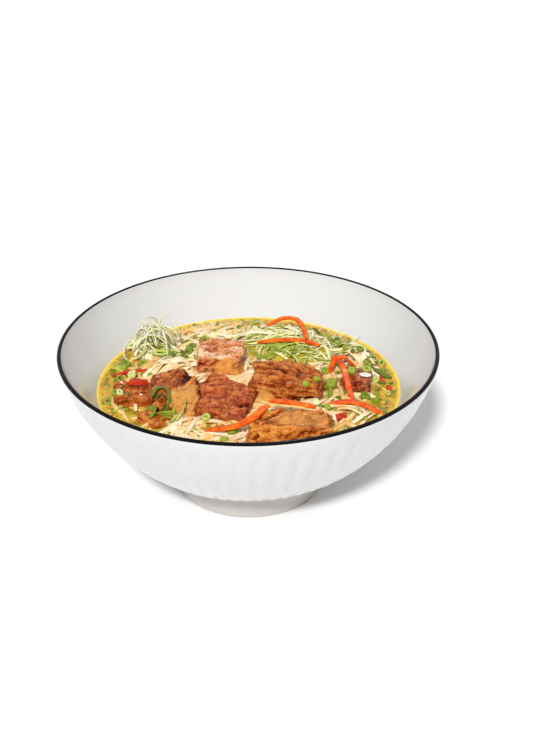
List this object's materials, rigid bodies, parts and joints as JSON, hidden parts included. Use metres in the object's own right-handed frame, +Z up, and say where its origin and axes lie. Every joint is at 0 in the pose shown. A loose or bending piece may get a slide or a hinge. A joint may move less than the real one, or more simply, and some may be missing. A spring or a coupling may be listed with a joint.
{
  "type": "beef noodle soup in a bowl",
  "caption": "Wide ribbed white bowl with a dark edge, filled with broth, noodles, chunks of braised beef, shredded scallion and strips of red pepper.",
  "frame": {"origin": "centre of the foot ring's underside, which is also the bottom centre of the whole's box", "axes": "+Z up along the bowl's axis, +X to the eater's right, +Y away from the eater"},
  "size_m": [0.228, 0.228, 0.0945],
  "materials": {
    "glaze": "glossy white glaze, with a black edge on the lip",
    "broth": "clear yellow broth with oil on it",
    "noodle": "wet, cream",
    "meat": "braised, red-brown, wet and fibrous",
    "scallion": "fresh, white to green",
    "pepper": "wet, orange-red"
  },
  "bodies": {
    "root": {"bowl": "glaze", "broth": "broth", "noodle_bed": "noodle", "shank_block": "meat", "brisket_block": "meat", "brisket_long": "meat", "tendon_piece": "meat", "brisket_left": "meat", "brisket_flat": "meat", "brisket_end": "meat", "brisket_small": "meat", "scallion_curls": "scallion", "scallion_shreds": "scallion", "pepper_back": "pepper", "pepper_arch": "pepper", "pepper_right": "pepper", "pepper_cross": "pepper", "pepper_front_right": "pepper", "pepper_front": "pepper", "pepper_middle": "pepper", "pepper_left": "pepper", "pepper_short": "pepper", "pepper_wedge_left": "pepper", "pepper_wedge_front": "pepper"}
  },
  "joints": []
}
